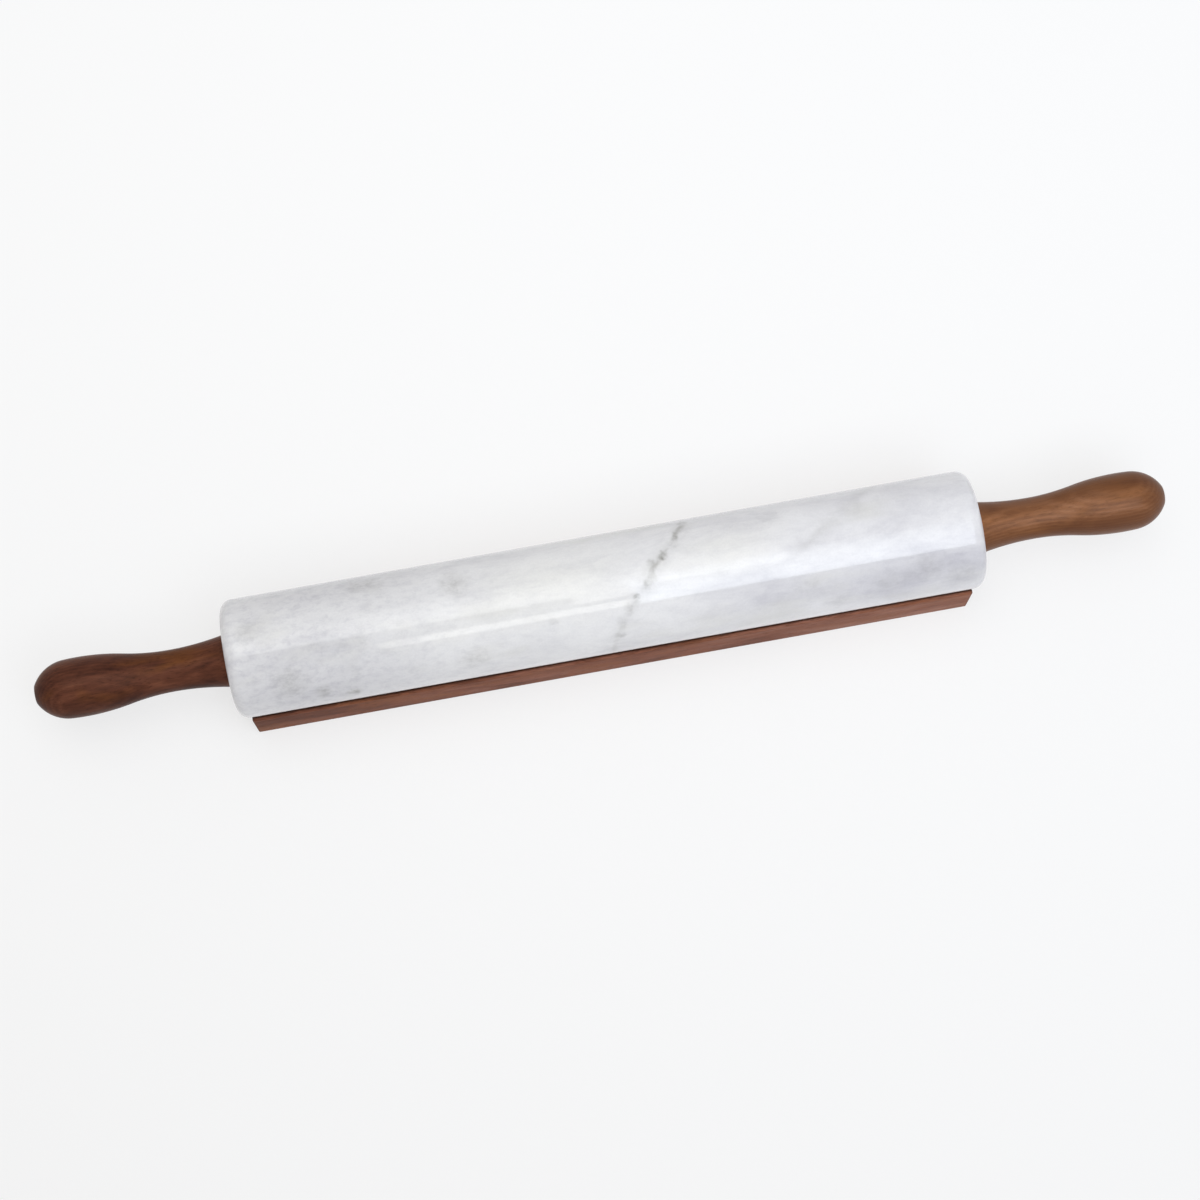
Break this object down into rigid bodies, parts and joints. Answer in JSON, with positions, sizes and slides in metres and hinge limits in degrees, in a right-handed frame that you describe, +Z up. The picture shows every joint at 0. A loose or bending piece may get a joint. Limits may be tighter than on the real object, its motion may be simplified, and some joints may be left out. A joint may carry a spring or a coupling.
{
  "type": "rolling pin",
  "caption": "Marble rolling pin with turned wooden handles on a steel axle, lying in the round trough of a wooden cradle; the barrel turns freely on bushed ends.",
  "frame": {"origin": "middle of the cradle's underside, on the surface that the cradle stands on", "axes": "+X along the pin towards the right handle, +Z up, +Y towards the back"},
  "size_m": [0.574, 0.061, 0.0708],
  "materials": {
    "marble": "polished white marble with soft grey clouding and thin dark veins",
    "left_handle_wood": "oiled dark reddish brown hardwood",
    "right_handle_wood": "oiled mid brown hardwood",
    "cradle_wood": "oiled reddish brown hardwood",
    "axle_steel": "bright drawn steel",
    "washer_steel": "plain stamped steel",
    "insert_brass": "turned brass",
    "bush_nylon": "natural nylon"
  },
  "bodies": {
    "cradle": {"cradle": "cradle_wood"},
    "barrel": {"marble_barrel": "marble", "left_bushing": "bush_nylon", "right_bushing": "bush_nylon"},
    "axle": {"axle_rod": "axle_steel", "left_washer": "washer_steel", "right_washer": "washer_steel", "left_handle_insert": "insert_brass", "right_handle_insert": "insert_brass", "left_handle": "left_handle_wood", "right_handle": "right_handle_wood"}
  },
  "joints": [
    {"name": "pin_lift", "type": "slide", "parent": "cradle", "child": "barrel", "axis": [0, 0, 1], "range_m": [0, 0.08]},
    {"name": "handle_spin", "type": "hinge", "parent": "barrel", "child": "axle", "pos_m": [0, 0, 0.0408], "axis": [1, 0, 0], "continuous": true}
  ]
}
